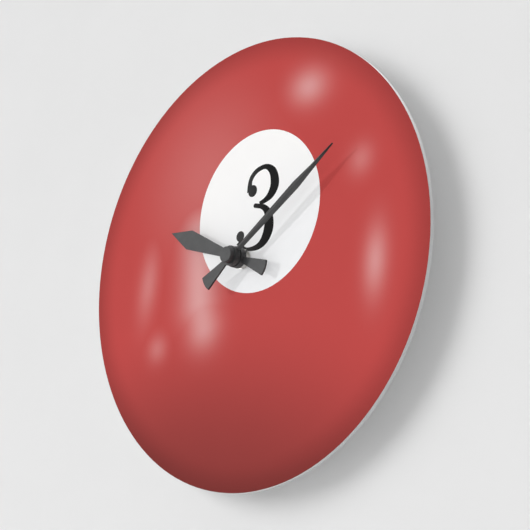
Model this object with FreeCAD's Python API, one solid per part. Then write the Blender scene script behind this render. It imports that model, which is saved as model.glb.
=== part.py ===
"""Round acrylic quartz wall clock with two hands and a battery movement.

Frame, in millimetres: the wall is the plane y = 0, the dial faces -Y, +Z is up, and the axis of the
hands is the line x = z = 0. Each function below makes one physical piece in its assembled place.
"""
import FreeCAD, Part
import math
import os

V = FreeCAD.Vector
AXIS_Y = V(0, 1, 0)

# dial
DIAL_R = 136.5            # 273 mm across
DIAL_THICK = 3.0
FILM_THICK = 0.1          # printed film on the front of the acrylic
FACE_Y = -20.0            # front of the printed film, 20 mm off the wall
DIAL_FRONT = FACE_Y + FILM_THICK
DIAL_BACK = DIAL_FRONT + DIAL_THICK
SHAFT_HOLE_R = 4.2
EDGE_BEVEL = 0.25

# artwork, printed flush in the film: a white number disc and an upright numeral
SPOT_R = 49.7
SPOT = (2.6, 29.9)
# pen strokes of the numeral: x, z and half width at each station
UPPER_BOWL = ((-6.9, 40.6, 2.6), (-8.5, 45.4, 1.75), (-7.9, 49.9, 1.7), (-4.3, 54.3, 1.6),
              (2.2, 56.8, 1.6), (8.7, 54.1, 2.8), (12.4, 47.2, 3.5), (11.3, 41.0, 2.9),
              (7.7, 36.9, 1.8), (3.3, 34.3, 1.2))
LOWER_BOWL = ((3.3, 33.1, 1.4), (8.8, 31.8, 2.0), (13.0, 28.0, 3.2), (15.3, 21.0, 3.85),
              (14.5, 14.6, 3.4), (11.0, 9.6, 2.3), (4.8, 6.8, 1.35), (-1.5, 6.6, 1.0),
              (-7.2, 10.0, 2.5))
TERMINALS = ((-4.9, 41.3, 3.7), (-6.9, 13.2, 3.3), (0.0, 32.7, 1.4))
SPUR_END = 4.6
STROKE_STEPS = 8

# movement case
CASE_HALF = 28.0          # 56 mm square
CASE_FRONT = -16.0
CASE_SPLIT = -8.0
CASE_REAR = 0.0
CASE_CORNER = 3.0
WALL = 1.4
INNER_FRONT = CASE_FRONT + WALL
INNER_REAR = -1.2
INNER_HALF = CASE_HALF - WALL
DIVIDER_TOP = -11.5
DIVIDER_LOW = -12.3
BAY_LOW = -27.2
BAY_FRONT = -15.2

# clamp through the dial
THREAD_R = 4.0
THREAD_PITCH = 0.9
THREAD_DEPTH = 0.3
THREAD_TOP = FACE_Y - 3.3
BUSH_BORE = 2.56
FLANGE_R = 5.5
FLANGE_REAR = INNER_FRONT + 0.6
NUT_ACROSS = 10.4
NUT_THICK = 2.4
WASHER_R = 5.9
WASHER_THICK = 0.5

# coaxial arbors on the hands' axis
PIPE_R = 2.5
PIPE_BORE = 1.66
PIPE_TIP = FACE_Y - 8.0
MINUTE_R = 1.6
MINUTE_BORE = 0.55
MINUTE_TIP = FACE_Y - 13.4
SECOND_R = 0.49
SECOND_TIP = FACE_Y - 12.8

# hands
HAND_THICK = 1.2
HAND_BORE_GAP = 0.02
HOUR_FACE = FACE_Y - 6.4
HOUR_ANGLE = 277.8        # degrees clockwise from the 12 o'clock direction
HOUR_TIP = 63.4
HOUR_SHOULDER = 45.3
HOUR_HALF = 6.1
HOUR_ROOT_HALF = 1.7
HOUR_HUB_R = 6.3
HOUR_HUB_REAR = FACE_Y - 3.7
HOUR_HUB_FRONT = FACE_Y - 7.8
MINUTE_FACE = FACE_Y - 10.8
MINUTE_ANGLE = 41.0
MINUTE_LENGTH = 93.5
MINUTE_WIDEST = 60.5
MINUTE_SLIM_AT = 75.0
MINUTE_SLIM_HALF = 1.65
MINUTE_TIP_HALF = 0.12
MINUTE_HALF = 2.85
MINUTE_ROOT_HALF = 1.75
MINUTE_HUB_R = 6.0
MINUTE_HUB_REAR = FACE_Y - 8.3
RIDGE_RISE = 0.9          # the blade's edges lie this far behind its ridge
ROOT_AT = 3.0
TAIL_WAIST = 1.45
TAIL_WAIST_AT = 4.0
TAIL_HALF = 4.7
HOUR_TAIL = 25.1
MINUTE_TAIL = 25.1
TAIL_BULGE = 0.9
CAP_R = 4.8
CAP_FRONT = FACE_Y - 15.1
CAP_REAR = FACE_Y - 11.9
CAP_BEVEL = 0.4

# gear teeth
PRESSURE = math.radians(28.0)
ADDENDUM = 0.8
DEDENDUM = 1.15
TOOTH_FILL = 0.46         # tooth width as a share of the pitch, leaving backlash

CANNON_TEETH = 12
MOTION_TEETH = 36
MOTION_PINION_TEETH = 10
HOUR_TEETH = 40
KNOB_TEETH = 12
CENTRE_TEETH = 64
THIRD_PINION_TEETH = 8
THIRD_TEETH = 60
SECOND_PINION_TEETH = 8
SECOND_TEETH = 60
FIFTH_PINION_TEETH = 12
FIFTH_TEETH = 60
ROTOR_TEETH = 10

CANNON_MODULE = 0.35
THIRD_MODULE = 0.30
FIFTH_PINION_MODULE = 0.28
ROTOR_MODULE = 0.20


def polar(distance, degrees, origin=(0.0, 0.0)):
    angle = math.radians(degrees)
    return (origin[0] + distance * math.cos(angle), origin[1] + distance * math.sin(angle))


# arbor positions in the x-z plane
MOTION_SPAN = CANNON_MODULE * (CANNON_TEETH + MOTION_TEETH) / 2
THIRD_SPAN = THIRD_MODULE * (THIRD_TEETH + SECOND_PINION_TEETH) / 2
FIFTH_SPAN = FIFTH_PINION_MODULE * (SECOND_TEETH + FIFTH_PINION_TEETH) / 2
ROTOR_SPAN = ROTOR_MODULE * (FIFTH_TEETH + ROTOR_TEETH) / 2
HOUR_MODULE = 2 * MOTION_SPAN / (MOTION_PINION_TEETH + HOUR_TEETH)
CENTRE_MODULE = 2 * THIRD_SPAN / (CENTRE_TEETH + THIRD_PINION_TEETH)
CENTRE = (0.0, 0.0)
MOTION = polar(MOTION_SPAN, -20)
KNOB = polar(MOTION_SPAN, -10, MOTION)
THIRD = polar(THIRD_SPAN, 150)
FIFTH = polar(FIFTH_SPAN, 60)
ROTOR = polar(ROTOR_SPAN, 0, FIFTH)

# arbors and bearings
PIVOT_R = 0.35
PIVOT_HOLE = 0.40
BRIDGE_FRONT = -4.0
BRIDGE_REAR = -3.2
PIVOT_END = -3.3
SHOULDER = -4.1
BRIDGE_POSTS = ((-20.5, -9.0), (-20.5, 14.5), (14.5, 15.0), (4.5, -10.1))
SPIGOT_R = 0.7
MOTION_POST_R = 0.75
MOTION_BORE = 0.81

# motor
MAGNET_R = 2.8
STATOR_HOLE = 3.2
STATOR_FRONT = -6.0
STATOR_REAR = -4.8
CORE_FRONT = -7.0
CORE_Z = 22.0
CORE_HALF = 2.0
STATOR_LEFT = 3.0
STATOR_RIGHT = 22.5
LEG_WIDTH = 4.0
BOBBIN_LEFT = 7.3
BOBBIN_RIGHT = 18.2
FLANGE_THICK = 0.7
WINDING_R = 3.5
BOBBIN_R = 4.0
SCREW_R = 0.6

# electronics
BOARD_LEFT = -26.2
BOARD_RIGHT = -2.0
BOARD_LOW = 17.0
BOARD_TOP = 26.2
BOARD_FRONT = -4.2
BOARD_REAR = -3.2
BOARD_POSTS = ((-22.0, 24.0), (-4.5, 24.0))

# battery, size AA
CELL_R = 7.1
CELL_Y = -7.9
CELL_Z = -19.8
CELL_LEFT = -24.35
CELL_RIGHT = 24.95
NUB_R = 2.7
NUB_END = 26.15
STRIP = 0.4

# setting knob
KNOB_R = 5.0
KNOB_REAR = -0.5
KNOB_FRONT = -2.9
KNOB_SHAFT_R = 1.2
RECESS_R = 5.6
RECESS_FLOOR = -3.2
RECESS_BOSS_R = 6.8
KNOB_FLUTES = 20
FLUTE_R = 0.45

# hanger on the rear case
HANGER_HALF = 9.0
HANGER_TOP = 39.0
HANGER_THICK = 3.0
KEYHOLE_Z = 31.0
KEYHOLE_R = 3.6
SLOT_TOP_Z = 35.6
SLOT_R = 1.8

# marks sunk in the rear wall of the case
MARK_DEPTH = 0.3
PANEL_X = (-20.0, 6.0)
PANEL_Z = (5.0, 20.0)
POLE_X = 24.3
POLE_Z = -8.9
POLE_HALF = 1.7
POLE_LINE = 0.45
ARROW_R = 7.6
ARROW_HALF = 0.35
ARROW_TURNS = (30, 75, 118)
ARROW_TIP_TURN = 142
ARROW_HEAD = 1.4
EJECTOR_R = 1.8
EJECTOR_X = 23.5
EJECTOR_Z = (6.0, 23.0)


def disc(radius, y0, y1, centre=CENTRE):
    return Part.makeCylinder(radius, y1 - y0, V(centre[0], y0, centre[1]), AXIS_Y)


def ring(outer, inner, y0, y1, centre=CENTRE):
    return disc(outer, y0, y1, centre).cut(disc(inner, y0 - 1, y1 + 1, centre))


def box(x0, x1, y0, y1, z0, z1):
    return Part.makeBox(x1 - x0, y1 - y0, z1 - z0, V(x0, y0, z0))


def prism(points, y0, y1):
    wire = Part.makePolygon([V(x, y0, z) for x, z in points] + [V(points[0][0], y0, points[0][1])])
    return Part.Face(wire).extrude(V(0, y1 - y0, 0))


def rounded_box(half, y0, y1, corner):
    solid = box(-half, half, y0, y1, -half, half)
    upright = [e for e in solid.Edges if abs(e.Vertexes[0].Y - e.Vertexes[1].Y) > 1]
    return solid.makeFillet(corner, upright)


def join(first, *others):
    solid = first.multiFuse(list(others)) if others else first
    return solid.removeSplitter()


def bearing(start, end):
    """Direction in degrees from one arbor to another."""
    return math.degrees(math.atan2(end[1] - start[1], end[0] - start[0]))


def mating_phase(driver_teeth, driver_phase, driver, teeth, centre):
    """Phase in degrees that drops a tooth gap of the second gear over a tooth of the first."""
    line = bearing(driver, centre)
    pitches = (driver_phase - line) * driver_teeth / 360.0
    return line + 180.0 - (pitches + 0.5) * 360.0 / teeth


def involute(radius, base):
    roll = math.acos(min(1.0, base / radius))
    return math.tan(roll) - roll


def gear(teeth, module, y0, y1, centre, phase, flank_steps=1):
    """Spur gear with straight-chord involute flanks; `phase` is the direction of one tooth."""
    pitch_r = module * teeth / 2
    base = pitch_r * math.cos(PRESSURE)
    root = pitch_r - DEDENDUM * module
    tip = pitch_r + ADDENDUM * module
    half = math.pi * TOOTH_FILL / teeth + involute(pitch_r, base)
    start = max(root, base)
    radii = [start + (tip - start) * i / flank_steps for i in range(flank_steps + 1)]
    flank = [(r, half - involute(r, base)) for r in radii]
    if root < base:
        flank.insert(0, (root, flank[0][1]))
    points = []
    for tooth in range(teeth):
        middle = math.radians(phase) + 2 * math.pi * tooth / teeth
        outline = [(r, -a) for r, a in flank] + [(r, a) for r, a in reversed(flank)]
        for r, a in outline:
            points.append((centre[0] + r * math.cos(middle + a), centre[1] + r * math.sin(middle + a)))
    return prism(points, y0, y1)


# tooth phases, passed down the train so that every pair meshes
CANNON_PHASE = bearing(CENTRE, MOTION)
MOTION_PHASE = mating_phase(CANNON_TEETH, CANNON_PHASE, CENTRE, MOTION_TEETH, MOTION)
KNOB_PHASE = mating_phase(MOTION_TEETH, MOTION_PHASE, MOTION, KNOB_TEETH, KNOB)
MOTION_PINION_PHASE = bearing(MOTION, CENTRE)
HOUR_PHASE = mating_phase(MOTION_PINION_TEETH, MOTION_PINION_PHASE, MOTION, HOUR_TEETH, CENTRE)
CENTRE_PHASE = bearing(CENTRE, THIRD)
THIRD_PINION_PHASE = mating_phase(CENTRE_TEETH, CENTRE_PHASE, CENTRE, THIRD_PINION_TEETH, THIRD)
THIRD_PHASE = bearing(THIRD, CENTRE)
SECOND_PINION_PHASE = mating_phase(THIRD_TEETH, THIRD_PHASE, THIRD, SECOND_PINION_TEETH, CENTRE)
SECOND_PHASE = bearing(CENTRE, FIFTH)
FIFTH_PINION_PHASE = mating_phase(SECOND_TEETH, SECOND_PHASE, CENTRE, FIFTH_PINION_TEETH, FIFTH)
FIFTH_PHASE = bearing(FIFTH, ROTOR)
ROTOR_PHASE = mating_phase(FIFTH_TEETH, FIFTH_PHASE, FIFTH, ROTOR_TEETH, ROTOR)


def dial_disc():
    solid = disc(DIAL_R, DIAL_FRONT, DIAL_BACK)
    rear_rim = [e for e in solid.Edges if e.BoundBox.YMin > DIAL_BACK - 0.1]
    solid = solid.makeChamfer(EDGE_BEVEL, rear_rim)
    return solid.cut(disc(SHAFT_HOLE_R, DIAL_FRONT - 1, DIAL_BACK + 1))


def smooth(stations, steps):
    """Points of a Catmull-Rom spline through the stations, as (x, z, half width)."""
    padded = (stations[0],) + tuple(stations) + (stations[-1],)
    points = []
    for a, b, c, d in zip(padded, padded[1:], padded[2:], padded[3:]):
        for i in range(steps):
            t = i / steps
            points.append(tuple(0.5 * (2 * q + (r - p) * t + (2 * p - 5 * q + 4 * r - s) * t ** 2
                                       + (3 * q - p - 3 * r + s) * t ** 3)
                                for p, q, r, s in zip(a, b, c, d)))
    points.append(stations[-1])
    return points


def pen_stroke(stations):
    """Slab in the film with the outline of a stroke that swells and thins along its path."""
    path = smooth(stations, STROKE_STEPS)
    sides = ([], [])
    for i, (x, z, half) in enumerate(path):
        x0, z0, _ = path[max(i - 1, 0)]
        x1, z1, _ = path[min(i + 1, len(path) - 1)]
        length = math.hypot(x1 - x0, z1 - z0)
        nx = (z1 - z0) / length * half
        nz = (x0 - x1) / length * half
        sides[0].append((x + nx, z + nz))
        sides[1].append((x - nx, z - nz))
    return prism(sides[0] + sides[1][::-1], FACE_Y, DIAL_FRONT)


def numeral():
    strokes = [pen_stroke(UPPER_BOWL), pen_stroke(LOWER_BOWL)]
    dots = [disc(r, FACE_Y, DIAL_FRONT, (x, z)) for x, z, r in TERMINALS]
    spur_x, spur_z, spur_r = TERMINALS[2]
    spur = box(spur_x, SPUR_END, FACE_Y, DIAL_FRONT, spur_z - spur_r, spur_z + spur_r)
    return join(strokes[0], strokes[1], *dots, spur)


def number_disc():
    spot = disc(SPOT_R, FACE_Y, DIAL_FRONT, SPOT)
    return spot.cut(numeral()).cut(disc(SHAFT_HOLE_R, FACE_Y - 1, DIAL_FRONT + 1))


def printed_face():
    film = disc(DIAL_R, FACE_Y, DIAL_FRONT)
    return film.cut(disc(SPOT_R, FACE_Y - 1, DIAL_FRONT + 1, SPOT))


def rubber_washer():
    return ring(11.0, THREAD_R + 0.15, DIAL_BACK, CASE_FRONT)


def front_washer():
    return ring(WASHER_R, THREAD_R + 0.1, FACE_Y - WASHER_THICK, FACE_Y)


def clamp_nut():
    rear = FACE_Y - WASHER_THICK
    front = rear - NUT_THICK
    corner = NUT_ACROSS / math.sqrt(3)
    solid = prism([polar(corner, 60 * k + 10) for k in range(6)], front, rear)
    cone = Part.makeCone(corner - 0.5, corner + NUT_THICK - 0.5, NUT_THICK, V(0, front, 0), AXIS_Y)
    return solid.common(cone).cut(disc(THREAD_R + 0.02, front - 1, rear + 1))


def threaded_bushing():
    solid = join(disc(THREAD_R, THREAD_TOP, FLANGE_REAR), disc(FLANGE_R, INNER_FRONT, FLANGE_REAR))
    y = THREAD_TOP + THREAD_PITCH / 2
    while y < FACE_Y - THREAD_PITCH:
        solid = solid.cut(ring(THREAD_R + 1, THREAD_R - THREAD_DEPTH, y, y + THREAD_PITCH / 2))
        y += THREAD_PITCH
    return solid.cut(disc(BUSH_BORE, THREAD_TOP - 1, FLANGE_REAR + 1))


def boss(centre, radius, top, hole, depth):
    """Bearing boss standing on the inner face of the front case, with a blind pivot hole."""
    return disc(radius, INNER_FRONT - 0.2, top, centre), disc(hole, top - depth, top + 1, centre)


def clip_spots():
    return [(side, z) for side in (-1, 1) for z in (-20.0, 12.0)]


def front_case():
    solid = rounded_box(CASE_HALF, CASE_FRONT, CASE_SPLIT, CASE_CORNER)
    solid = solid.cut(box(-INNER_HALF, INNER_HALF, INNER_FRONT, CASE_SPLIT + 1, DIVIDER_TOP, INNER_HALF))
    solid = solid.cut(box(-INNER_HALF, INNER_HALF, BAY_FRONT, CASE_SPLIT + 1, BAY_LOW, DIVIDER_LOW))
    added = []
    holes = []
    bosses = ((THIRD, 1.4, -12.0, PIVOT_HOLE, 1.3), (FIFTH, 1.4, -11.7, PIVOT_HOLE, 1.3),
              (ROTOR, 1.4, -8.2, PIVOT_HOLE, 1.3), (KNOB, 1.5, -13.0, 0.55, 1.2))
    for centre, radius, top, hole, depth in bosses:
        post, pivot = boss(centre, radius, top, hole, depth)
        added.append(post)
        holes.append(pivot)
    for centre in BRIDGE_POSTS:
        added.append(disc(1.0, INNER_FRONT - 0.2, BRIDGE_FRONT, centre))
        added.append(disc(SPIGOT_R, BRIDGE_FRONT - 0.5, BRIDGE_REAR, centre))
    for centre in BOARD_POSTS:
        added.append(disc(1.2, INNER_FRONT - 0.2, BOARD_FRONT, centre))
    for x in screw_places():
        added.append(disc(1.7, INNER_FRONT - 0.2, CORE_FRONT, (x, CORE_Z)))
        holes.append(disc(SCREW_R, CORE_FRONT - 3.2, CORE_FRONT + 1, (x, CORE_Z)))
    added.append(disc(1.2, INNER_FRONT - 0.2, -14.0, MOTION))
    added.append(disc(MOTION_POST_R, INNER_FRONT - 0.2, -11.6, MOTION))
    for side, z in clip_spots():
        x = side * CASE_HALF
        nib = [(x, z - 2.5), (x + side * 0.7, z - 2.5), (x + side * 0.7, z + 2.5), (x, z + 2.5)]
        added.append(prism(nib, -10.6, -9.4))
    solid = solid.multiFuse(added)
    holes.append(disc(THREAD_R + 0.02, CASE_FRONT - 1, INNER_FRONT + 0.1))
    return solid.cut(Part.makeCompound(holes)).removeSplitter()


def side_box(side, inner, outer, y0, y1, z0, z1):
    """Box on the left (side -1) or right (side 1), between two distances from the middle plane."""
    low, high = sorted((side * inner, side * outer))
    return box(low, high, y0, y1, z0, z1)


def hanger_plate():
    shoulder = HANGER_TOP - 6.0
    points = [(-HANGER_HALF, CASE_HALF - 1), (HANGER_HALF, CASE_HALF - 1), (HANGER_HALF, shoulder),
              (HANGER_HALF - 5.0, HANGER_TOP), (5.0 - HANGER_HALF, HANGER_TOP), (-HANGER_HALF, shoulder)]
    plate = prism(points, CASE_REAR - HANGER_THICK, CASE_REAR)
    neck = box(-SLOT_R, SLOT_R, -5, 1, KEYHOLE_Z, SLOT_TOP_Z)
    keyhole = disc(KEYHOLE_R, -5, 1, (0, KEYHOLE_Z))
    return plate.cut(keyhole).cut(neck).cut(disc(SLOT_R, -5, 1, (0, SLOT_TOP_Z)))


def moulded_marks():
    """Sunk marks: a plain panel, the battery's plus and minus, the setting arrow, ejector rounds."""
    front = CASE_REAR - MARK_DEPTH
    rear = CASE_REAR + 1
    bars = ((POLE_X, POLE_HALF, POLE_LINE), (POLE_X, POLE_LINE, POLE_HALF), (-POLE_X, POLE_HALF, POLE_LINE))
    marks = [box(*PANEL_X, front, rear, *PANEL_Z)]
    for x, wide, tall in bars:
        marks.append(box(x - wide, x + wide, front, rear, POLE_Z - tall, POLE_Z + tall))
    sector = prism([KNOB] + [polar(2 * ARROW_R, turn, KNOB) for turn in ARROW_TURNS], front, rear)
    marks.append(ring(ARROW_R + ARROW_HALF, ARROW_R - ARROW_HALF, front, rear, KNOB).common(sector))
    base = ARROW_TURNS[-1]
    head = [polar(ARROW_R, ARROW_TIP_TURN, KNOB), polar(ARROW_R + ARROW_HEAD, base, KNOB),
            polar(ARROW_R - ARROW_HEAD, base, KNOB)]
    marks.append(prism(head, front, rear))
    for x in (-EJECTOR_X, EJECTOR_X):
        for z in EJECTOR_Z:
            marks.append(disc(EJECTOR_R, front, rear, (x, z)))
    return marks


def rear_case():
    solid = rounded_box(CASE_HALF, CASE_SPLIT, CASE_REAR, CASE_CORNER)
    solid = solid.cut(box(-INNER_HALF, INNER_HALF, CASE_SPLIT - 1, INNER_REAR, DIVIDER_TOP, INNER_HALF))
    solid = solid.cut(box(-INNER_HALF, INNER_HALF, CASE_SPLIT - 1, CASE_REAR + 1, BAY_LOW, DIVIDER_LOW))
    solid = solid.cut(disc(CELL_R + 0.5, CASE_SPLIT - 1, CASE_REAR + 1, (0, CELL_Z - 6.0)))
    solid = solid.fuse(disc(RECESS_BOSS_R, RECESS_FLOOR - 1.2, INNER_REAR + 0.2, KNOB))
    solid = solid.cut(disc(RECESS_R, RECESS_FLOOR, CASE_REAR + 1, KNOB))
    solid = solid.cut(disc(KNOB_SHAFT_R + 0.06, -8, CASE_REAR + 1, KNOB))
    for side in (-1, 1):
        slot = side_box(side, INNER_HALF - 0.6, INNER_HALF, -6.2, -3.0, DIVIDER_LOW - 1, DIVIDER_TOP + 1)
        solid = solid.cut(slot)
    for side, z in clip_spots():
        tongue = side_box(side, CASE_HALF - 0.2, CASE_HALF + 0.9, -11.8, -4.0, z - 4.0, z + 4.0)
        window = side_box(side, CASE_HALF - 0.5, CASE_HALF + 1.5, -10.9, -9.1, z - 2.8, z + 2.8)
        relief = side_box(side, CASE_HALF - 0.5, CASE_HALF, -12.5, CASE_SPLIT, z - 5.0, z + 5.0)
        solid = solid.fuse(tongue.cut(window).cut(relief))
    for mark in moulded_marks():
        solid = solid.cut(mark)
    return join(solid, hanger_plate())


def train_bridge():
    outline = [(-22.5, -11.2), (7.0, -11.2), (7.0, 3.5), (19.0, 3.5), (19.0, 16.5), (-22.5, 16.5)]
    solid = prism(outline, BRIDGE_FRONT, BRIDGE_REAR)
    holes = [disc(PIVOT_HOLE, -5, -2, c) for c in (CENTRE, THIRD, FIFTH, ROTOR)]
    holes += [disc(SPIGOT_R + 0.02, -5, -2, c) for c in BRIDGE_POSTS]
    return solid.cut(Part.makeCompound(holes))


def arbor(radius, front, rear, centre, front_pivot):
    """Turned arbor with a pivot at each end; the rear one runs in the bridge."""
    body = disc(radius, front, rear, centre)
    front_end = disc(PIVOT_R, front_pivot, front + 0.1, centre)
    rear_end = disc(PIVOT_R, rear - 0.1, PIVOT_END, centre)
    return [body, front_end, rear_end]


def hour_wheel():
    wheel = gear(HOUR_TEETH, HOUR_MODULE, -13.8, -13.0, CENTRE, HOUR_PHASE)
    solid = wheel.fuse(disc(PIPE_R, PIPE_TIP, -13.4))
    return solid.cut(disc(PIPE_BORE, PIPE_TIP - 1, -12)).removeSplitter()


def minute_arbor():
    pinion = gear(CANNON_TEETH, CANNON_MODULE, -12.7, -11.6, CENTRE, CANNON_PHASE, 2)
    solid = pinion.fuse(disc(MINUTE_R, MINUTE_TIP, -10.4))
    return solid.cut(disc(MINUTE_BORE, MINUTE_TIP - 1, -10)).removeSplitter()


def centre_wheel():
    wheel = gear(CENTRE_TEETH, CENTRE_MODULE, -11.2, -10.5, CENTRE, CENTRE_PHASE)
    for k in range(4):
        wheel = wheel.cut(disc(1.9, -12, -9, polar(5.6, 45 + 90 * k)))
    return wheel.cut(disc(MINUTE_R + HAND_BORE_GAP, -12, -9))


def motion_wheel():
    wheel = gear(MOTION_TEETH, CANNON_MODULE, -12.5, -11.8, MOTION, MOTION_PHASE)
    pinion = gear(MOTION_PINION_TEETH, HOUR_MODULE, -13.9, -12.4, MOTION, MOTION_PINION_PHASE, 2)
    return wheel.fuse(pinion).cut(disc(MOTION_BORE, -15, -11, MOTION)).removeSplitter()


def third_wheel():
    wheel = gear(THIRD_TEETH, THIRD_MODULE, -9.9, -9.3, THIRD, THIRD_PHASE)
    pinion = gear(THIRD_PINION_TEETH, CENTRE_MODULE, -11.4, -10.3, THIRD, THIRD_PINION_PHASE, 2)
    return join(wheel, pinion, *arbor(0.6, -11.9, SHOULDER, THIRD, -13.2))


def seconds_wheel():
    wheel = gear(SECOND_TEETH, FIFTH_PINION_MODULE, -8.6, -8.0, CENTRE, SECOND_PHASE)
    pinion = gear(SECOND_PINION_TEETH, THIRD_MODULE, -10.1, -9.1, CENTRE, SECOND_PINION_PHASE, 2)
    shaft = disc(SECOND_R, SECOND_TIP, SHOULDER)
    pivot = disc(PIVOT_R, SHOULDER - 0.1, PIVOT_END)
    return join(wheel, pinion, shaft, pivot)


def fifth_wheel():
    wheel = gear(FIFTH_TEETH, ROTOR_MODULE, -7.4, -6.9, FIFTH, FIFTH_PHASE)
    pinion = gear(FIFTH_PINION_TEETH, FIFTH_PINION_MODULE, -8.8, -7.8, FIFTH, FIFTH_PINION_PHASE, 2)
    return join(wheel, pinion, *arbor(0.45, -11.6, SHOULDER, FIFTH, -12.9))


def rotor_pinion():
    pinion = gear(ROTOR_TEETH, ROTOR_MODULE, -7.6, -6.7, ROTOR, ROTOR_PHASE, 2)
    return join(pinion, *arbor(0.55, -8.1, SHOULDER, ROTOR, -9.4))


def rotor_magnet():
    return ring(MAGNET_R, 0.55, -6.2, -4.6, ROTOR)


def setting_knob():
    head = disc(KNOB_R, KNOB_FRONT, KNOB_REAR, KNOB)
    turns = [360.0 * k / KNOB_FLUTES for k in range(KNOB_FLUTES)]
    flutes = [disc(FLUTE_R, -4, 0, polar(KNOB_R + 0.15, turn, KNOB)) for turn in turns]
    head = head.cut(Part.makeCompound(flutes)).cut(ring(3.6, 1.6, KNOB_REAR - 0.6, KNOB_REAR + 1, KNOB))
    shaft = disc(KNOB_SHAFT_R, -12.9, KNOB_FRONT + 0.2, KNOB)
    pinion = gear(KNOB_TEETH, CANNON_MODULE, -12.7, -11.6, KNOB, KNOB_PHASE, 2)
    pivot = disc(0.5, -14.1, -12.8, KNOB)
    return join(head, shaft, pinion, pivot)


def tail_face(waist_at, end_at, y):
    """Flared counterweight below the hub, closed by a shallow arc."""
    waist_left = V(-TAIL_WAIST, y, -waist_at)
    waist_right = V(TAIL_WAIST, y, -waist_at)
    end_left = V(-TAIL_HALF, y, -end_at)
    end_right = V(TAIL_HALF, y, -end_at)
    left = Part.makeLine(waist_left, end_left)
    arc = Part.Arc(end_left, V(0, y, -end_at - TAIL_BULGE), end_right).toShape()
    right = Part.makeLine(end_right, waist_right)
    close = Part.makeLine(waist_right, waist_left)
    return Part.Face(Part.Wire([left, arc, right, close]))


def aim(shape, degrees):
    shape.rotate(V(0, 0, 0), AXIS_Y, degrees)
    return shape


def hour_hand():
    y = HOUR_FACE
    outline = [(-HOUR_ROOT_HALF, ROOT_AT), (-HOUR_HALF, HOUR_SHOULDER), (0, HOUR_TIP),
               (HOUR_HALF, HOUR_SHOULDER), (HOUR_ROOT_HALF, ROOT_AT)]
    blade = prism(outline, y, y + HAND_THICK)
    tail = tail_face(TAIL_WAIST_AT, HOUR_TAIL, y).extrude(V(0, HAND_THICK, 0))
    hub = disc(HOUR_HUB_R, HOUR_HUB_FRONT, HOUR_HUB_REAR)
    bore = disc(PIPE_R + HAND_BORE_GAP, HOUR_HUB_FRONT - 1, HOUR_HUB_REAR + 1)
    solid = join(blade, tail, hub).cut(bore)
    return aim(solid, HOUR_ANGLE)


def minute_blade():
    """Blade with a lengthwise ridge, widest at about six tenths of its length."""
    front = MINUTE_FACE
    rear = front + HAND_THICK
    edge = front + RIDGE_RISE
    stations = ((ROOT_AT, MINUTE_ROOT_HALF), (MINUTE_WIDEST, MINUTE_HALF),
                (MINUTE_SLIM_AT, MINUTE_SLIM_HALF), (MINUTE_LENGTH, MINUTE_TIP_HALF))
    rows = []
    for z, half in stations:
        section = ((-half, rear), (-half, edge), (0, front), (half, edge), (half, rear))
        rows.append([V(x, y, z) for x, y in section])
    faces = []
    for low, high in zip(rows, rows[1:]):
        for i in range(5):
            j = (i + 1) % 5
            faces.append([low[i], low[j], high[j]])
            faces.append([low[i], high[j], high[i]])
    faces.append(list(rows[0]))
    faces.append(list(rows[-1]))
    shell = Part.makeShell([Part.Face(Part.makePolygon(f + [f[0]])) for f in faces])
    solid = Part.makeSolid(shell)
    if solid.Volume < 0:
        solid.reverse()
    return solid


def minute_hand():
    y = MINUTE_FACE
    tail = tail_face(TAIL_WAIST_AT, MINUTE_TAIL, y).extrude(V(0, HAND_THICK, 0))
    hub = disc(MINUTE_HUB_R, CAP_REAR, MINUTE_HUB_REAR)
    bore = disc(MINUTE_R + HAND_BORE_GAP, CAP_REAR - 1, MINUTE_HUB_REAR + 1)
    solid = join(minute_blade(), tail, hub).cut(bore)
    return aim(solid, MINUTE_ANGLE)


def cap_nut():
    solid = disc(CAP_R, CAP_FRONT, CAP_REAR)
    front = [e for e in solid.Edges if e.BoundBox.YMax < CAP_FRONT + 0.1 and e.Length > CAP_R]
    solid = solid.makeChamfer(CAP_BEVEL, front)
    return solid.cut(disc(MINUTE_R + HAND_BORE_GAP, MINUTE_TIP - 0.1, CAP_REAR + 1))


def stator():
    low = ROTOR[1] - 3.6
    high = ROTOR[1] + 3.6
    top = CORE_Z + CORE_HALF
    left = STATOR_LEFT
    right = STATOR_RIGHT
    outline = [(left, low), (right, low), (right, top), (right - LEG_WIDTH, top), (right - LEG_WIDTH, high),
               (left + LEG_WIDTH, high), (left + LEG_WIDTH, top), (left, top)]
    solid = prism(outline, STATOR_FRONT, STATOR_REAR)
    holes = [disc(STATOR_HOLE, -8, -3, ROTOR), disc(1.0, -8, -3, FIFTH)]
    holes += [disc(SCREW_R + 0.05, -8, -3, (x, CORE_Z)) for x in screw_places()]
    return solid.cut(Part.makeCompound(holes))


def screw_places():
    return (STATOR_LEFT + LEG_WIDTH / 2, STATOR_RIGHT - LEG_WIDTH / 2)


def coil_core():
    solid = box(STATOR_LEFT, STATOR_RIGHT, CORE_FRONT, STATOR_FRONT, CORE_Z - CORE_HALF, CORE_Z + CORE_HALF)
    holes = [disc(SCREW_R + 0.05, -8, -3, (x, CORE_Z)) for x in screw_places()]
    return solid.cut(Part.makeCompound(holes))


def along_x(radius, x0, x1, y, z):
    return Part.makeCylinder(radius, x1 - x0, V(x0, y, z), V(1, 0, 0))


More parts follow.
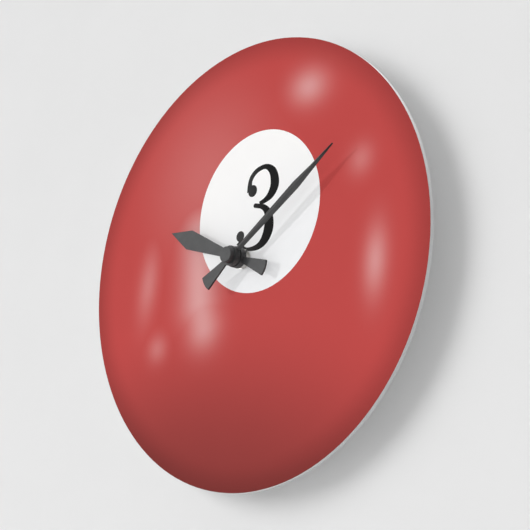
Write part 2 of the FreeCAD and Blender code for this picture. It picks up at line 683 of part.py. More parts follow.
def coil_bobbin():
    y = (CORE_FRONT + STATOR_FRONT) / 2
    barrel = along_x(2.4, BOBBIN_LEFT, BOBBIN_RIGHT, y, CORE_Z)
    flange_left = along_x(BOBBIN_R, BOBBIN_LEFT, BOBBIN_LEFT + FLANGE_THICK, y, CORE_Z)
    flange_right = along_x(BOBBIN_R, BOBBIN_RIGHT - FLANGE_THICK, BOBBIN_RIGHT, y, CORE_Z)
    solid = join(barrel, flange_left, flange_right)
    return solid.cut(box(0, 25, CORE_FRONT, STATOR_FRONT, CORE_Z - CORE_HALF, CORE_Z + CORE_HALF))


def coil_winding():
    y = (CORE_FRONT + STATOR_FRONT) / 2
    x0 = BOBBIN_LEFT + FLANGE_THICK
    x1 = BOBBIN_RIGHT - FLANGE_THICK
    return along_x(WINDING_R, x0, x1, y, CORE_Z).cut(along_x(2.4, x0 - 1, x1 + 1, y, CORE_Z))


def motor_screws():
    screws = []
    for x in screw_places():
        head = disc(1.3, STATOR_REAR, STATOR_REAR + 0.8, (x, CORE_Z))
        slot = box(x - 2, x + 2, STATOR_REAR + 0.45, STATOR_REAR + 1, CORE_Z - 0.2, CORE_Z + 0.2)
        shank = disc(SCREW_R, CORE_FRONT - 3.0, STATOR_REAR + 0.1, (x, CORE_Z))
        screws.append(join(head.cut(slot), shank))
    return Part.makeCompound(screws)


def circuit_board():
    return box(BOARD_LEFT, BOARD_RIGHT, BOARD_FRONT, BOARD_REAR, BOARD_LOW, BOARD_TOP)


def chip_cover():
    dome = Part.makeSphere(3.2, V(-10.5, BOARD_FRONT + 1.9, 21.5))
    return dome.common(box(-15, -6, BOARD_FRONT - 3, BOARD_FRONT, 17, 26))


def quartz_can():
    can = along_x(1.0, -20.5, -14.5, BOARD_FRONT - 1.0, 19.0)
    return can.fuse(box(-20.5, -19.9, BOARD_FRONT - 1.0, BOARD_FRONT, 18.6, 19.4)).removeSplitter()


def contact_positive():
    plate = box(INNER_HALF - STRIP, INNER_HALF, -12.0, -3.2, -24.0, -15.6)
    riser = box(INNER_HALF - STRIP, INNER_HALF, -6.0, -3.2, -16.0, INNER_HALF)
    run = box(-8.0, INNER_HALF, -6.0, -3.2, INNER_HALF - STRIP, INNER_HALF)
    return join(plate, riser, run)


def contact_negative():
    outer = -INNER_HALF
    plate = box(outer, outer + STRIP, -12.0, -3.2, -24.0, -15.6)
    riser = box(outer, outer + STRIP, -6.0, -3.2, -16.0, 24.0)
    leaf = [(outer + 0.2, -23.8), (outer + 2.0, -21.2), (outer + 2.0, -18.4), (outer + 0.2, -15.8),
            (outer + 0.2, -16.5), (outer + 1.6, -18.7), (outer + 1.6, -20.9), (outer + 0.2, -23.1)]
    return join(plate, riser, prism(leaf, -10.0, -6.0))


def battery_cell():
    can = along_x(CELL_R - 0.15, CELL_LEFT, CELL_RIGHT, CELL_Y, CELL_Z)
    return join(can, along_x(NUB_R, CELL_RIGHT - 0.2, NUB_END, CELL_Y, CELL_Z))


def battery_sleeve():
    sleeve = along_x(CELL_R, CELL_LEFT + 0.3, CELL_RIGHT - 0.3, CELL_Y, CELL_Z)
    return sleeve.cut(along_x(CELL_R - 0.15, CELL_LEFT - 1, CELL_RIGHT + 1, CELL_Y, CELL_Z))


PIECES = (dial_disc, printed_face, number_disc, numeral, rubber_washer, front_washer, clamp_nut,
          threaded_bushing, front_case, rear_case, train_bridge, hour_wheel, hour_hand, minute_arbor,
          centre_wheel, minute_hand, cap_nut, motion_wheel, setting_knob, third_wheel, seconds_wheel,
          fifth_wheel, rotor_pinion, rotor_magnet, stator, coil_core, coil_bobbin, coil_winding,
          motor_screws, circuit_board, chip_cover, quartz_can, contact_positive, contact_negative,
          battery_cell, battery_sleeve)

os.makedirs("parts", exist_ok=True)
for make in PIECES:
    shape = make()
    if shape.ShapeType == "Compound" and len(shape.Solids) == 1:
        shape = shape.Solids[0]
    shape.exportStep("parts/" + make.__name__ + ".step")
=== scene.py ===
import math

import bmesh
import bpy
from mathutils import Matrix, Vector


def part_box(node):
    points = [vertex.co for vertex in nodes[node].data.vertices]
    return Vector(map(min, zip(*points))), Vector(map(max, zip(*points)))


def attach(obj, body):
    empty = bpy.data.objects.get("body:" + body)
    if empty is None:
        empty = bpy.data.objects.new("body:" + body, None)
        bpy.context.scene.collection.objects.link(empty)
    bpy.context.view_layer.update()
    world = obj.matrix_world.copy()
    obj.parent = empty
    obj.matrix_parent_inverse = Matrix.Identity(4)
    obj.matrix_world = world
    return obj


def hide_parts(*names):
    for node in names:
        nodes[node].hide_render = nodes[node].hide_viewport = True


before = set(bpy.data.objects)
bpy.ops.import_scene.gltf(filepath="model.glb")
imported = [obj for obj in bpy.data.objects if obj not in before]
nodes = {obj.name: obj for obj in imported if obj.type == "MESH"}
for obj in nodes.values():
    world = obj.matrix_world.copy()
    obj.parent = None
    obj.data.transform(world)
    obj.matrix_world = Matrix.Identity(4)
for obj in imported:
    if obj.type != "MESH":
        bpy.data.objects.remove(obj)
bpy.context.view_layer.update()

MM = 0.001
PATCH_TO_GRAIN = 12

# ---------------------------------------------------------------- places read from the frame
dial_low, dial_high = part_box("dial_disc")
DIAL_RADIUS = (dial_high.x - dial_low.x) / 2
FACE_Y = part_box("printed_face")[0].y
WALL_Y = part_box("rear_case")[1].y


# ---------------------------------------------------------------- node helpers
class Field:
    """One value of a shader network, with arithmetic that adds Math nodes."""

    def __init__(self, tree, source):
        self.tree = tree
        self.source = source

    def math(self, operation, *others, clamp=False):
        node = self.tree.nodes.new("ShaderNodeMath")
        node.operation = operation
        node.use_clamp = clamp
        for slot, value in enumerate((self,) + others):
            if isinstance(value, Field):
                self.tree.links.new(value.source, node.inputs[slot])
            else:
                node.inputs[slot].default_value = value
        return Field(self.tree, node.outputs[0])

    def __add__(self, other):
        return self.math("ADD", other)

    def __sub__(self, other):
        return self.math("SUBTRACT", other)

    def __mul__(self, other):
        return self.math("MULTIPLY", other)

    def __truediv__(self, other):
        return self.math("DIVIDE", other)

    def step(self, low, high):
        """Smooth step from 0 at low to 1 at high."""
        node = self.tree.nodes.new("ShaderNodeMapRange")
        node.interpolation_type = "SMOOTHSTEP"
        self.tree.links.new(self.source, node.inputs["Value"])
        node.inputs["From Min"].default_value = low
        node.inputs["From Max"].default_value = high
        return Field(self.tree, node.outputs["Result"])

    def fade(self, spread):
        """Bell curve of a squared distance."""
        return (self * (-0.5 / spread ** 2)).math("EXPONENT")


def new_material(name, **values):
    """Principled material; underscores in the keywords stand for spaces in socket names."""
    mat = bpy.data.materials.new(name)
    mat.use_nodes = True
    shader = mat.node_tree.nodes["Principled BSDF"]
    for key, value in values.items():
        shader.inputs[key.replace("_", " ")].default_value = value
    return mat, mat.node_tree, shader


def object_coords(tree, scale):
    """Object coordinates, multiplied by a factor for each axis."""
    coords = tree.nodes.new("ShaderNodeTexCoord")
    mapping = tree.nodes.new("ShaderNodeMapping")
    mapping.inputs["Scale"].default_value = scale
    tree.links.new(coords.outputs["Object"], mapping.inputs["Vector"])
    return mapping.outputs["Vector"]


def millimetres(tree):
    """Object coordinates in millimetres."""
    return object_coords(tree, [1 / MM] * 3)


def axes(tree):
    """X, Y and Z in millimetres as three fields."""
    split = tree.nodes.new("ShaderNodeSeparateXYZ")
    tree.links.new(millimetres(tree), split.inputs[0])
    return [Field(tree, split.outputs[i]) for i in range(3)]


def noise(tree, size, detail=3.0, distortion=0.0, stretch=(1, 1, 1)):
    """Noise whose features are about `size` millimetres across, finer along a stretched axis."""
    node = tree.nodes.new("ShaderNodeTexNoise")
    node.inputs["Scale"].default_value = 1.0
    node.inputs["Detail"].default_value = detail
    node.inputs["Distortion"].default_value = distortion
    tree.links.new(object_coords(tree, [s / (size * MM) for s in stretch]), node.inputs["Vector"])
    return Field(tree, node.outputs["Fac"])


def blend_colours(tree, factor, first, second):
    """Mix of two colours, each a tuple or the output of another node."""
    node = tree.nodes.new("ShaderNodeMix")
    node.data_type = "RGBA"
    tree.links.new(factor.source, node.inputs["Factor"])
    for value, socket in ((first, node.inputs["A"]), (second, node.inputs["B"])):
        if isinstance(value, tuple):
            socket.default_value = value + (1.0,)
        else:
            tree.links.new(value, socket)
    return node.outputs["Result"]


def remap(tree, field, low, high):
    """Field of 0 to 1, spread over low to high."""
    node = tree.nodes.new("ShaderNodeMapRange")
    tree.links.new(field.source, node.inputs["Value"])
    node.inputs["To Min"].default_value = low
    node.inputs["To Max"].default_value = high
    return node.outputs["Result"]


def add_bump(tree, shader, height, distance, strength=1.0, edge=None):
    """Bump of a given depth in millimetres; `edge` also rounds the look of sharp edges."""
    bump = tree.nodes.new("ShaderNodeBump")
    bump.inputs["Distance"].default_value = distance * MM
    bump.inputs["Strength"].default_value = strength
    tree.links.new(height.source, bump.inputs["Height"])
    if edge:
        soft = tree.nodes.new("ShaderNodeBevel")
        soft.samples = 4
        soft.inputs["Radius"].default_value = edge * MM
        tree.links.new(soft.outputs["Normal"], bump.inputs["Normal"])
    tree.links.new(bump.outputs["Normal"], shader.inputs["Normal"])


def mottled(tree, field, dark, light):
    """Two close tones in soft patches."""
    return blend_colours(tree, field.step(0.3, 0.7), dark, light)


def grained(name, dark, light, rough, grain, depth, metallic=0.0, stretch=(1, 1, 1), edge=None, **more):
    """Surface with a mottled colour, uneven roughness and a fine bump; grain and depth in millimetres."""
    mat, tree, shader = new_material(name, Metallic=metallic, **more)
    pattern = noise(tree, grain, detail=4.0, distortion=0.2, stretch=stretch)
    patches = noise(tree, grain * PATCH_TO_GRAIN, detail=2.0)
    tree.links.new(mottled(tree, patches, dark, light), shader.inputs["Base Color"])
    tree.links.new(remap(tree, pattern, *rough), shader.inputs["Roughness"])
    add_bump(tree, shader, pattern, depth, strength=0.6, edge=edge)
    return mat


# ---------------------------------------------------------------- printed film
# Places and sizes are in millimetres from the hands' axis.
RED_TOP = (0.737, 0.287, 0.278)
RED_LOW = (0.545, 0.232, 0.222)
HIGHLIGHT = (0.955, 0.925, 0.92)
BLACK = (0.0, 0.0, 0.0)
DISPLAY_GAMMA = 2.2

SHADE_MIDDLE_X = 50.0
SHADE_ARCH = 0.002
SHADE_FROM = 20.0
SHADE_TO = 135.0

GLOW_CENTRE = (-48.0, 48.0)
GLOW_REACH = 85.0
GLOW_STRENGTH = 0.19

RIM_FROM = 118.0
RIM_TO = 140.0
RIM_STRENGTH = 0.15

TALL_WINDOW_TOP = (-43.9, 11.1)
TALL_WINDOW_BEND = (-30.8, -29.1)
TALL_WINDOW_FOOT = (-21.5, -44.3)


def spot(x, z, centre, spread_x, spread_z):
    """Soft ellipse along the axes."""
    dx = (x - centre[0]) / spread_x
    dz = (z - centre[1]) / spread_z
    return (dx * dx + dz * dz).fade(1.0)


def oval(x, z, centre, lean, spread_along, spread_across):
    """Soft ellipse whose long axis points along `lean`."""
    axis = Vector(lean).normalized()
    dx = x - centre[0]
    dz = z - centre[1]
    along = (dx * axis.x + dz * axis.y) / spread_along
    across = (dx * axis.y - dz * axis.x) / spread_across
    return (along * along + across * across).fade(1.0)


def streak(x, z, start, end, spread):
    """Soft band along the segment from start to end."""
    run = Vector(end) - Vector(start)
    along = (x - start[0]) * run.x + (z - start[1]) * run.y
    share = (along * (1.0 / run.length_squared)).math("MULTIPLY", 1.0, clamp=True)
    dx = x - share * run.x - start[0]
    dz = z - share * run.y - start[1]
    return (dx * dx + dz * dz).fade(spread)


def foot_shade(x, z):
    """0 on the upper part of the ball and 1 at its foot, with an arched border."""
    offset = x - SHADE_MIDDLE_X
    depth = (z + offset * offset * SHADE_ARCH) * -1.0
    return depth.step(SHADE_FROM, SHADE_TO)


def glow(x, z):
    """Broad pale patch on the upper left."""
    dx = x - GLOW_CENTRE[0]
    dz = z - GLOW_CENTRE[1]
    distance = (dx * dx + dz * dz).math("SQRT")
    return (distance * -1.0).step(-GLOW_REACH, 0.0) * GLOW_STRENGTH


def reflections(x, z):
    """The brightest of the ball's printed reflections at each point."""
    top = spot(x, z, centre=(23.0, 106.0), spread_x=11.0, spread_z=8.4)
    upper_right = spot(x, z, centre=(75.5, 65.0), spread_x=6.5, spread_z=7.0)
    right = oval(x, z, centre=(101.0, 10.5), lean=(-0.2, 1.0), spread_along=14.5, spread_across=6.0)
    tall_upper = streak(x, z, TALL_WINDOW_TOP, TALL_WINDOW_BEND, spread=12.4)
    tall_lower = streak(x, z, TALL_WINDOW_BEND, TALL_WINDOW_FOOT, spread=10.6)
    left = oval(x, z, centre=(-82.0, -26.0), lean=(-0.14, 1.0), spread_along=17.0, spread_across=6.6)
    lower_left = spot(x, z, centre=(-59.5, -64.0), spread_x=6.5, spread_z=6.5)
    lights = (glow(x, z), top * 0.45, upper_right * 0.25, right * 0.42, tall_upper * 0.5,
              tall_lower * 0.45, left * 0.28, lower_left * 0.25)
    brightest = lights[0]
    for light in lights[1:]:
        brightest = brightest.math("MAXIMUM", light)
    return brightest


def film_material(name):
    """Matt film with a faint grain; its colour is still to be set."""
    mat, tree, shader = new_material(name, Roughness=0.6, Specular_IOR_Level=0.05)
    add_bump(tree, shader, noise(tree, 1.2, detail=2.0), 0.006, strength=0.4)
    return mat, tree, shader


def ball_print():
    """Red film shaded like a ball: darker below and at the rim, with pale window reflections."""
    mat, tree, shader = film_material("ball_print")
    x, _, z = axes(tree)
    colour = blend_colours(tree, foot_shade(x, z), RED_TOP, RED_LOW)
    colour = blend_colours(tree, reflections(x, z), colour, HIGHLIGHT)
    radius = (x * x + z * z).math("SQRT")
    colour = blend_colours(tree, radius.step(RIM_FROM, RIM_TO) * RIM_STRENGTH, colour, BLACK)
    gamma = tree.nodes.new("ShaderNodeGamma")
    gamma.inputs["Gamma"].default_value = DISPLAY_GAMMA
    tree.links.new(colour, gamma.inputs["Color"])
    tree.links.new(gamma.outputs["Color"], shader.inputs["Base Color"])
    return mat


WAVER_SIZE = 9.0
WAVER_REACH = 2.0


def printed(name, lit, shaded, turn, start, end):
    """Print with painted shading: its tone fades from a painted lit tone to a painted shaded tone along a
    direction in the dial's plane, a little unevenly.
    """
    mat, tree, shader = film_material(name)
    x, _, z = axes(tree)
    # across runs from the lit side to the shaded side of the painted shading
    across = x * turn[0] + z * turn[1] + noise(tree, WAVER_SIZE, detail=2.0) * WAVER_REACH
    tree.links.new(blend_colours(tree, across.step(start, end), lit, shaded), shader.inputs["Base Color"])
    return mat


# ---------------------------------------------------------------- materials of the CAD nodes
# The sheet's cut edge is painted a darker grey as painted shade, fading in between these distances from the
# rim, in millimetres.
EDGE_SHADE_INNER = 0.6
EDGE_SHADE_OUTER = 0.1


def acrylic():
    """Milky sheet whose cut edge is painted a darker grey: painted shade."""
    mat, tree, shader = new_material("acrylic_sheet", Roughness=0.12, Specular_IOR_Level=0.45)
    colour = mottled(tree, noise(tree, 30.0, detail=2.0), (0.81, 0.815, 0.815), (0.855, 0.86, 0.86))
    x, _, z = axes(tree)
    radius = (x * x + z * z).math("SQRT")
    rim = DIAL_RADIUS / MM
    # Painted shade: the cut edge all round the sheet turns a darker grey.
    painted_edge_shade = radius.step(rim - EDGE_SHADE_INNER, rim - EDGE_SHADE_OUTER)
    colour = blend_colours(tree, painted_edge_shade, colour, (0.6, 0.605, 0.605))
    tree.links.new(colour, shader.inputs["Base Color"])
    add_bump(tree, shader, noise(tree, 3.0, detail=2.0), 0.004, strength=0.3)
    return mat


def copper_wire():
    """Enamelled wire in close turns across the coil's axis."""
    mat, tree, shader = new_material("copper_wire", Metallic=0.9, Roughness=0.3)
    wave = tree.nodes.new("ShaderNodeTexWave")
    wave.bands_direction = "X"
    wave.inputs["Scale"].default_value = 1.4
    wave.inputs["Distortion"].default_value = 0.3
    tree.links.new(millimetres(tree), wave.inputs["Vector"])
    turns = Field(tree, wave.outputs["Fac"])
    colour = blend_colours(tree, turns, (0.3, 0.09, 0.035), (0.72, 0.29, 0.12))
    tree.links.new(colour, shader.inputs["Base Color"])
    add_bump(tree, shader, turns, 0.08)
    return mat


TRACK_SLANT = 0.35
TRACKS_PER_MM = 0.55


def board_mask():
    """Circuit board with slanting tracks under its solder mask."""
    mat, tree, shader = new_material("board_mask", Roughness=0.45)
    x, _, z = axes(tree)
    tracks = ((x + z * TRACK_SLANT) * TRACKS_PER_MM).math("FRACT").step(0.42, 0.5)
    colour = blend_colours(tree, tracks, (0.1, 0.2, 0.05), (0.16, 0.3, 0.08))
    tree.links.new(colour, shader.inputs["Base Color"])
    add_bump(tree, shader, tracks, 0.03)
    return mat


nickel = grained("nickel_plate", (0.55, 0.54, 0.52), (0.72, 0.71, 0.68), (0.22, 0.42),
                 grain=0.35, depth=0.01, metallic=1.0, stretch=(1, 3, 1), edge=0.12)
enamel = grained("hand_enamel", (0.05, 0.051, 0.052), (0.06, 0.061, 0.062), (0.42, 0.54),
                 grain=0.5, depth=0.008, edge=0.25, Specular_IOR_Level=0.2)
black_case = grained("case_plastic", (0.022, 0.022, 0.023), (0.034, 0.034, 0.035), (0.42, 0.6),
                     grain=0.35, depth=0.03, edge=0.35)
grey_knob = grained("knob_plastic", (0.3, 0.3, 0.29), (0.36, 0.36, 0.345), (0.38, 0.55),
                    grain=0.4, depth=0.02, edge=0.2)
white_gear = grained("gear_acetal", (0.72, 0.7, 0.62), (0.8, 0.78, 0.71), (0.28, 0.4),
                     grain=0.6, depth=0.006, Subsurface_Weight=0.1)
red_gear = grained("pinion_acetal", (0.42, 0.06, 0.03), (0.52, 0.09, 0.045), (0.28, 0.4),
                   grain=0.6, depth=0.006)
brass = grained("turned_brass", (0.58, 0.38, 0.13), (0.75, 0.53, 0.22), (0.2, 0.36),
                grain=0.3, depth=0.008, metallic=1.0, stretch=(1, 4, 1), edge=0.08)
magnet = grained("sintered_magnet", (0.05, 0.05, 0.053), (0.1, 0.1, 0.1), (0.45, 0.7),
                 grain=0.3, depth=0.02, metallic=0.6)
lamination = grained("magnetic_sheet", (0.42, 0.42, 0.43), (0.56, 0.56, 0.56), (0.28, 0.45),
                     grain=0.25, depth=0.01, metallic=1.0, stretch=(6, 1, 1), edge=0.1)
bobbin = grained("bobbin_plastic", (0.66, 0.65, 0.6), (0.74, 0.73, 0.69), (0.35, 0.5),
                 grain=0.5, depth=0.01)
resin = grained("potting_resin", (0.01, 0.01, 0.01), (0.02, 0.02, 0.02), (0.12, 0.3),
                grain=1.2, depth=0.03)
can_metal = grained("drawn_can", (0.5, 0.5, 0.5), (0.68, 0.68, 0.67), (0.18, 0.34),
                    grain=0.3, depth=0.006, metallic=1.0, stretch=(1, 5, 5))
spring = grained("tinned_strip", (0.5, 0.49, 0.46), (0.68, 0.67, 0.63), (0.2, 0.38),
                 grain=0.3, depth=0.008, metallic=1.0, stretch=(1, 1, 6), edge=0.1)
screw_zinc = grained("zinc_screw", (0.42, 0.43, 0.45), (0.58, 0.58, 0.6), (0.25, 0.4),
                     grain=0.3, depth=0.01, metallic=1.0, edge=0.1)
rubber = grained("washer_rubber", (0.016, 0.016, 0.016), (0.028, 0.028, 0.028), (0.7, 0.9),
                 grain=0.5, depth=0.03)

LOOKS = {
    "dial_disc": acrylic(),
    "printed_face": ball_print(),
    # The white disc is painted darker towards the lower right: painted shade on the print.
    "number_disc": printed("print_white", (0.955, 0.945, 0.935), (0.88, 0.885, 0.895),
                           turn=(0.6, -1.0), start=-75.0, end=25.0),
    # The numeral is painted lighter on its left and darker on its right: painted shading on the print.
    "numeral": printed("print_black", (0.045, 0.045, 0.045), (0.008, 0.008, 0.008),
                       turn=(1.0, 0.25), start=-4.0, end=20.0),
    "rubber_washer": rubber,
    "front_washer": nickel,
    "clamp_nut": nickel,
    "threaded_bushing": nickel,
    "front_case": black_case,
    "rear_case": black_case,
    "train_bridge": white_gear,
    "hour_wheel": white_gear,
    "hour_hand": enamel,
    "minute_arbor": brass,
    "centre_wheel": white_gear,
    "minute_hand": enamel,
    "cap_nut": enamel,
    "motion_wheel": white_gear,
    "setting_knob": grey_knob,
    "third_wheel": white_gear,
    "seconds_wheel": white_gear,
    "fifth_wheel": white_gear,
    "rotor_pinion": red_gear,
    "rotor_magnet": magnet,
    "stator": lamination,
    "coil_core": lamination,
    "coil_bobbin": bobbin,
    "coil_winding": copper_wire(),
    "motor_screws": screw_zinc,
    "circuit_board": board_mask(),
    "chip_cover": resin,
    "quartz_can": can_metal,
    "contact_positive": spring,
    "contact_negative": spring,
}


def wear(obj, look):
    """Give an object one material."""
    obj.data.materials.clear()
    obj.data.materials.append(look)


for node_name, look in LOOKS.items():
    wear(nodes[node_name], look)


# ---------------------------------------------------------------- battery with its real profile
SLEEVE_THICKNESS = 0.15 * MM
TERMINAL_HEIGHT = 1.2 * MM
# Places along the cell, in millimetres from the hands' axis.
BAND_FROM = 8.9
BAND_TO = 9.1
LINE_FROM = 8.2
LINE_TO = 8.9
LINE_SOFTNESS = 0.1


def turned(name, profile, origin, steps=96):
    """Body of revolution about the X axis; the profile is (x, radius) in metres."""
    mesh = bpy.data.meshes.new(name)
    bm = bmesh.new()
    rings = []
    for x, radius in profile:
        ring = []
        for k in range(steps):
            turn = 2 * math.pi * k / steps
            place = (x, origin.y + radius * math.cos(turn), origin.z + radius * math.sin(turn))
            ring.append(bm.verts.new(place))
        rings.append(ring)
    for a, b in zip(rings, rings[1:]):
        for k in range(steps):
            bm.faces.new((a[k], a[(k + 1) % steps], b[(k + 1) % steps], b[k]))
    for ring in (rings[0], rings[-1]):
        bm.faces.new(ring)
    bmesh.ops.recalc_face_normals(bm, faces=bm.faces)
    for face in bm.faces:
        face.smooth = len(face.verts) == 4
    bm.to_mesh(mesh)
    bm.free()
    obj = bpy.data.objects.new(name, mesh)
    bpy.context.scene.collection.objects.link(obj)
    return obj


def cell_sleeve():
    """Shrink sleeve: a dark body, a pale line and a copper-coloured band at the positive end."""
    mat, tree, shader = new_material("cell_sleeve", Roughness=0.26, Coat_Weight=0.4, Coat_Roughness=0.1)
    x, _, _ = axes(tree)
    band = x.step(BAND_FROM, BAND_TO)
    line_start = x.step(LINE_FROM, LINE_FROM + LINE_SOFTNESS)
    line_end = (x * -1.0).step(-LINE_TO, LINE_SOFTNESS - LINE_TO)
    colour = blend_colours(tree, band, (0.02, 0.022, 0.026), (0.5, 0.2, 0.07))
    colour = blend_colours(tree, line_start * line_end, colour, (0.7, 0.7, 0.68))
    tree.links.new(colour, shader.inputs["Base Color"])
    add_bump(tree, shader, noise(tree, 4.0, detail=2.0, distortion=0.3), 0.05, strength=0.4)
    return mat


def build_can(origin, can):
    """Steel can of radius `can`, with its two terminals."""
    low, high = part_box("battery_cell")
    left, right = low.x, high.x
    shoulder = right - TERMINAL_HEIGHT
    metal = turned("battery_can", (
        (left + 0.35 * MM, 1.5 * MM),
        (left + 0.35 * MM, 3.6 * MM),
        (left, 4.1 * MM),
        (left, 5.9 * MM),
        (left + 0.25 * MM, can - 0.35 * MM),
        (left + 0.6 * MM, can),
        (shoulder - 1.0 * MM, can),
        (shoulder - 0.35 * MM, can - 0.25 * MM),
        (shoulder, can - 0.9 * MM),
        (shoulder - 0.1 * MM, 3.9 * MM),
        (shoulder, 3.1 * MM),
        (shoulder + 0.1 * MM, 2.65 * MM),
        (right - 0.15 * MM, 2.5 * MM),
        (right, 2.2 * MM),
        (right, 0.6 * MM),
    ), origin)
    wear(metal, can_metal)
    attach(metal, "battery")
    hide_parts("battery_cell")


def build_wrap(origin, can, radius, left, right):
    """Shrink sleeve from left to right, turned in over both ends of the can."""
    wrap = turned("battery_wrap", (
        (left, can - 0.5 * MM),
        (left - 0.02 * MM, can - 0.2 * MM),
        (left + 0.2 * MM, radius - 0.05 * MM),
        (left + 0.5 * MM, radius),
        (right - 0.9 * MM, radius),
        (right - 0.4 * MM, radius - 0.15 * MM),
        (right, can - 0.35 * MM),
        (right + 0.1 * MM, can - 0.9 * MM),
    ), origin)
    wear(wrap, cell_sleeve())
    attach(wrap, "battery")
    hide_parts("battery_sleeve")


def build_battery():
    """Steel can and the sleeve around it."""
    sleeve_low, sleeve_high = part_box("battery_sleeve")
    origin = (sleeve_low + sleeve_high) / 2
    radius = (sleeve_high.z - sleeve_low.z) / 2
    can = radius - SLEEVE_THICKNESS
    build_can(origin, can)
    build_wrap(origin, can, radius, sleeve_low.x, sleeve_high.x)


build_battery()


# ---------------------------------------------------------------- wall and floor
STAGE_REACH = 3.0
FLOOR_Z = -0.6
# The wall stands a hair behind the case's flat back, so that the two don't share a plane.
BACKDROP_Y = WALL_Y + 0.2 * MM
PAINT = (0.8, 0.8, 0.8)


def sheet_of(name, corners):
    """Flat four-sided face."""
    mesh = bpy.data.meshes.new(name)
    mesh.from_pydata(corners, [], [(0, 1, 2, 3)])
    obj = bpy.data.objects.new(name, mesh)
    bpy.context.scene.collection.objects.link(obj)
    return obj


def one_sided(name, colour, rough):
    """Matt paint on the front that casts no shadow; from behind, the sheet isn't there."""
    mat, tree, shader = new_material(name, Roughness=rough, Specular_IOR_Level=0.15)
    shade = tuple(c * 0.99 for c in colour)
    tree.links.new(mottled(tree, noise(tree, 60.0), shade, colour), shader.inputs["Base Color"])
    facing = tree.nodes.new("ShaderNodeNewGeometry")
    rays = tree.nodes.new("ShaderNodeLightPath")
    shadow_ray = Field(tree, rays.outputs["Is Shadow Ray"])
    hidden = Field(tree, facing.outputs["Backfacing"]).math("MAXIMUM", shadow_ray)
    clear = tree.nodes.new("ShaderNodeBsdfTransparent")
    mix = tree.nodes.new("ShaderNodeMixShader")
    tree.links.new(hidden.source, mix.inputs[0])
    tree.links.new(shader.outputs[0], mix.inputs[1])
    tree.links.new(clear.outputs[0], mix.inputs[2])
    tree.links.new(mix.outputs[0], tree.nodes["Material Output"].inputs["Surface"])
    return mat


SQUARE = ((-STAGE_REACH, -STAGE_REACH), (STAGE_REACH, -STAGE_REACH),
          (STAGE_REACH, STAGE_REACH), (-STAGE_REACH, STAGE_REACH))
wall = sheet_of("backdrop_wall", [(x, BACKDROP_Y, z) for x, z in SQUARE])
wear(wall, one_sided("wall_paint", PAINT, 0.8))
floor = sheet_of("floor", [(x, y, FLOOR_Z) for x, y in SQUARE])
wear(floor, one_sided("floor_paint", PAINT, 0.7))


# ---------------------------------------------------------------- light
SKY_LEVEL = 0.24
SKY_TOP_GAIN = 0.5
SKY_TOP_FROM = 0.6
SKY_TOP_TO = 0.95


def light_group(name, state, *members):
    """Collection for light linking, whose members are left out (EXCLUDE) or are the only ones (INCLUDE)."""
    group = bpy.data.collections.new(name)
    for obj in members:
        group.objects.link(obj)
    for member in group.collection_objects:
        member.light_linking.link_state = state
    return group


def aim_lamp(name, kind, toward, lit):
    """Lamp that shines from the direction `toward`, only onto the group `lit` if one is given."""
    data = bpy.data.lights.new(name, kind)
    lamp = bpy.data.objects.new(name, data)
    bpy.context.scene.collection.objects.link(lamp)
    away = Vector(toward).normalized()
    lamp.rotation_mode = "QUATERNION"
    lamp.rotation_quaternion = away.to_track_quat("Z", "Y")
    if lit:
        lamp.light_linking.receiver_collection = lit
    return lamp, data, away


def far_light(name, toward, spread, strength, lit=None, blockers=None):
    """Distant light of a given angular size in degrees; the group `blockers` sets what shades it."""
    lamp, data, _ = aim_lamp(name, "SUN", toward, lit)
    data.angle = math.radians(spread)
    data.energy = strength
    if blockers:
        lamp.light_linking.blocker_collection = blockers


def area_light(name, toward, distance, size, power, lit=None):
    """Round lamp at a given distance from the origin, hidden from the camera."""
    lamp, data, away = aim_lamp(name, "AREA", toward, lit)
    data.shape = "DISK"
    data.size = size
    data.energy = power
    lamp.location = away * distance
    lamp.visible_camera = False


def add_world():
    """Even pale surroundings, brighter straight above."""
    world = bpy.data.worlds.new("studio")
    world.use_nodes = True
    sky = world.node_tree
    toward = sky.nodes.new("ShaderNodeTexCoord")
    split = sky.nodes.new("ShaderNodeSeparateXYZ")
    sky.links.new(toward.outputs["Generated"], split.inputs[0])
    height = Field(sky, split.outputs[2])
    level = height.step(SKY_TOP_FROM, SKY_TOP_TO) * SKY_TOP_GAIN + SKY_LEVEL
    sky.links.new(level.source, sky.nodes["Background"].inputs["Strength"])
    sky.nodes["Background"].inputs["Color"].default_value = (1.0, 1.0, 1.0, 1.0)
    bpy.context.scene.world = world


hands = (nodes["hour_hand"], nodes["minute_hand"], nodes["cap_nut"])
past_hands = light_group("past_hands", "EXCLUDE", *hands)
hands_only = light_group("hands_only", "INCLUDE", *hands)
clock_only = light_group("clock_only", "EXCLUDE", wall, floor)
wall_only = light_group("wall_only", "INCLUDE", wall, floor)
movement_only = light_group("movement_only", "EXCLUDE", wall, floor, nodes["dial_disc"])

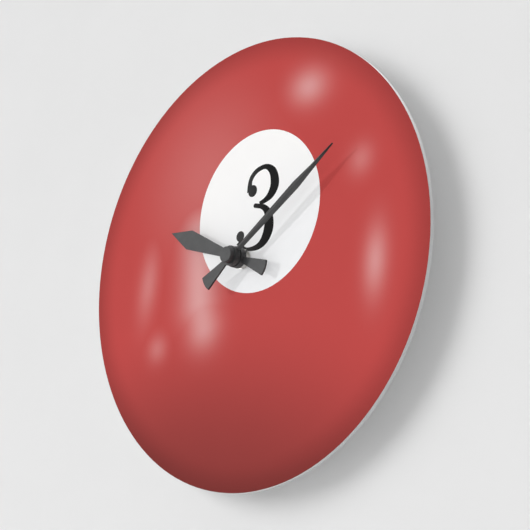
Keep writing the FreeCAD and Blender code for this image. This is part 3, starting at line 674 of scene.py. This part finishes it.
# The hands don't block the soft keys, so most of their shadow on the dial comes from the crisp key.
far_light("key", toward=(-0.66, -1.0, 0.2), spread=38.0, strength=0.89,
          lit=past_hands, blockers=past_hands)
far_light("key_on_hands", toward=(-0.66, -1.0, 0.12), spread=32.0, strength=0.9, lit=hands_only)
far_light("key_wide", toward=(-0.6, -1.0, 0.26), spread=80.0, strength=0.55,
          lit=past_hands, blockers=past_hands)
far_light("key_wide_on_hands", toward=(-0.6, -1.0, 0.2), spread=75.0, strength=0.55, lit=hands_only)
far_light("key_crisp", toward=(-0.93, -1.0, 0.03), spread=2.5, strength=0.6, lit=clock_only)
far_light("key_crisp_wall", toward=(-0.93, -1.0, 0.13), spread=42.0, strength=0.57, lit=wall_only)
far_light("fill", toward=(0.5, -1.0, 0.2), spread=40.0, strength=0.2)
area_light("rim", toward=(-0.09, 0.024, 1.0), distance=0.55, size=0.08, power=2.4)
area_light("rear_left", toward=(-0.8, 1.0, 0.5), distance=2.2, size=1.2, power=5.5)
area_light("rear_right", toward=(0.9, 1.0, 0.3), distance=2.2, size=1.2, power=3.8)
area_light("rear_case", toward=(-0.8, 0.5, 0.8), distance=1.2, size=0.1, power=20.0, lit=movement_only)
add_world()
bpy.context.scene.view_settings.view_transform = "Standard"

# ---------------------------------------------------------------- camera
AZIMUTH = math.radians(47.124)
ELEVATION = math.radians(-3.357)
ROLL = math.radians(12.443)
DISTANCE = 0.7079
LENS_MM = 81.1
SENSOR_MM = 36.0
AIM_SIDE = math.radians(1.0405)
AIM_UP = math.radians(0.2752)


def add_camera():
    """Camera that looks past the dial's centre by the two aim angles, rolled about its own axis."""
    back = Vector((math.sin(AZIMUTH) * math.cos(ELEVATION), -math.cos(AZIMUTH) * math.cos(ELEVATION),
                   math.sin(ELEVATION)))
    right = (-back).cross(Vector((0, 0, 1))).normalized()
    up = right.cross(-back)
    tilted_right = right * math.cos(ROLL) + up * math.sin(ROLL)
    tilted_up = up * math.cos(ROLL) - right * math.sin(ROLL)
    aim = (-back + tilted_right * math.tan(AIM_SIDE) - tilted_up * math.tan(AIM_UP)).normalized()
    side = aim.cross(tilted_up).normalized()
    top = side.cross(aim)
    data = bpy.data.cameras.new("camera")
    data.lens = LENS_MM
    data.sensor_width = SENSOR_MM
    camera = bpy.data.objects.new("camera", data)
    bpy.context.scene.collection.objects.link(camera)
    centre = Vector((0.0, FACE_Y, 0.0))
    turn = Matrix((side, top, -aim)).transposed().to_4x4()
    camera.matrix_world = Matrix.Translation(centre + back * DISTANCE) @ turn
    bpy.context.scene.camera = camera


add_camera()
